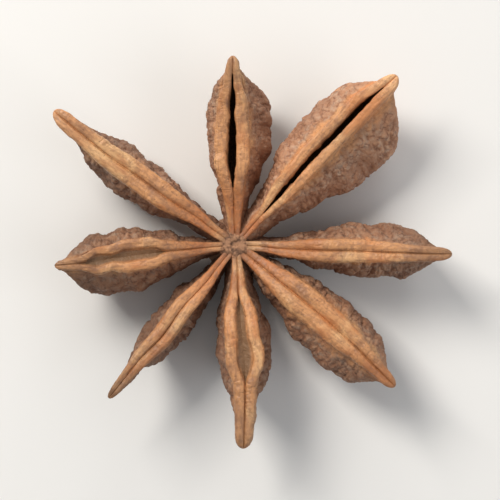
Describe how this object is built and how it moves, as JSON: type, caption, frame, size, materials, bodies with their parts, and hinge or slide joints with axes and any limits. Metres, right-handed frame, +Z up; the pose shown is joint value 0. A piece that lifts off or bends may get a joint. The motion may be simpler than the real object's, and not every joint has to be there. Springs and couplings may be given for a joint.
{
  "type": "star anise pod",
  "caption": "Dried star-shaped spice pod: boat-shaped woody carpels round a short column, lying on their keels with the lipped seams up, some gaping.",
  "frame": {"origin": "centre of the flat broken end of the stalk, on the ground under the column", "axes": "+Z up along the column, towards the seams; +X and +Y are the right and the top of the picture looking straight down on the seams"},
  "size_m": [0.0329, 0.0324, 0.0091],
  "materials": {
    "husk": "dry, wrinkled, matt husk with smoother, paler lips"
  },
  "bodies": {
    "root": {"pod": "husk"}
  },
  "joints": []
}
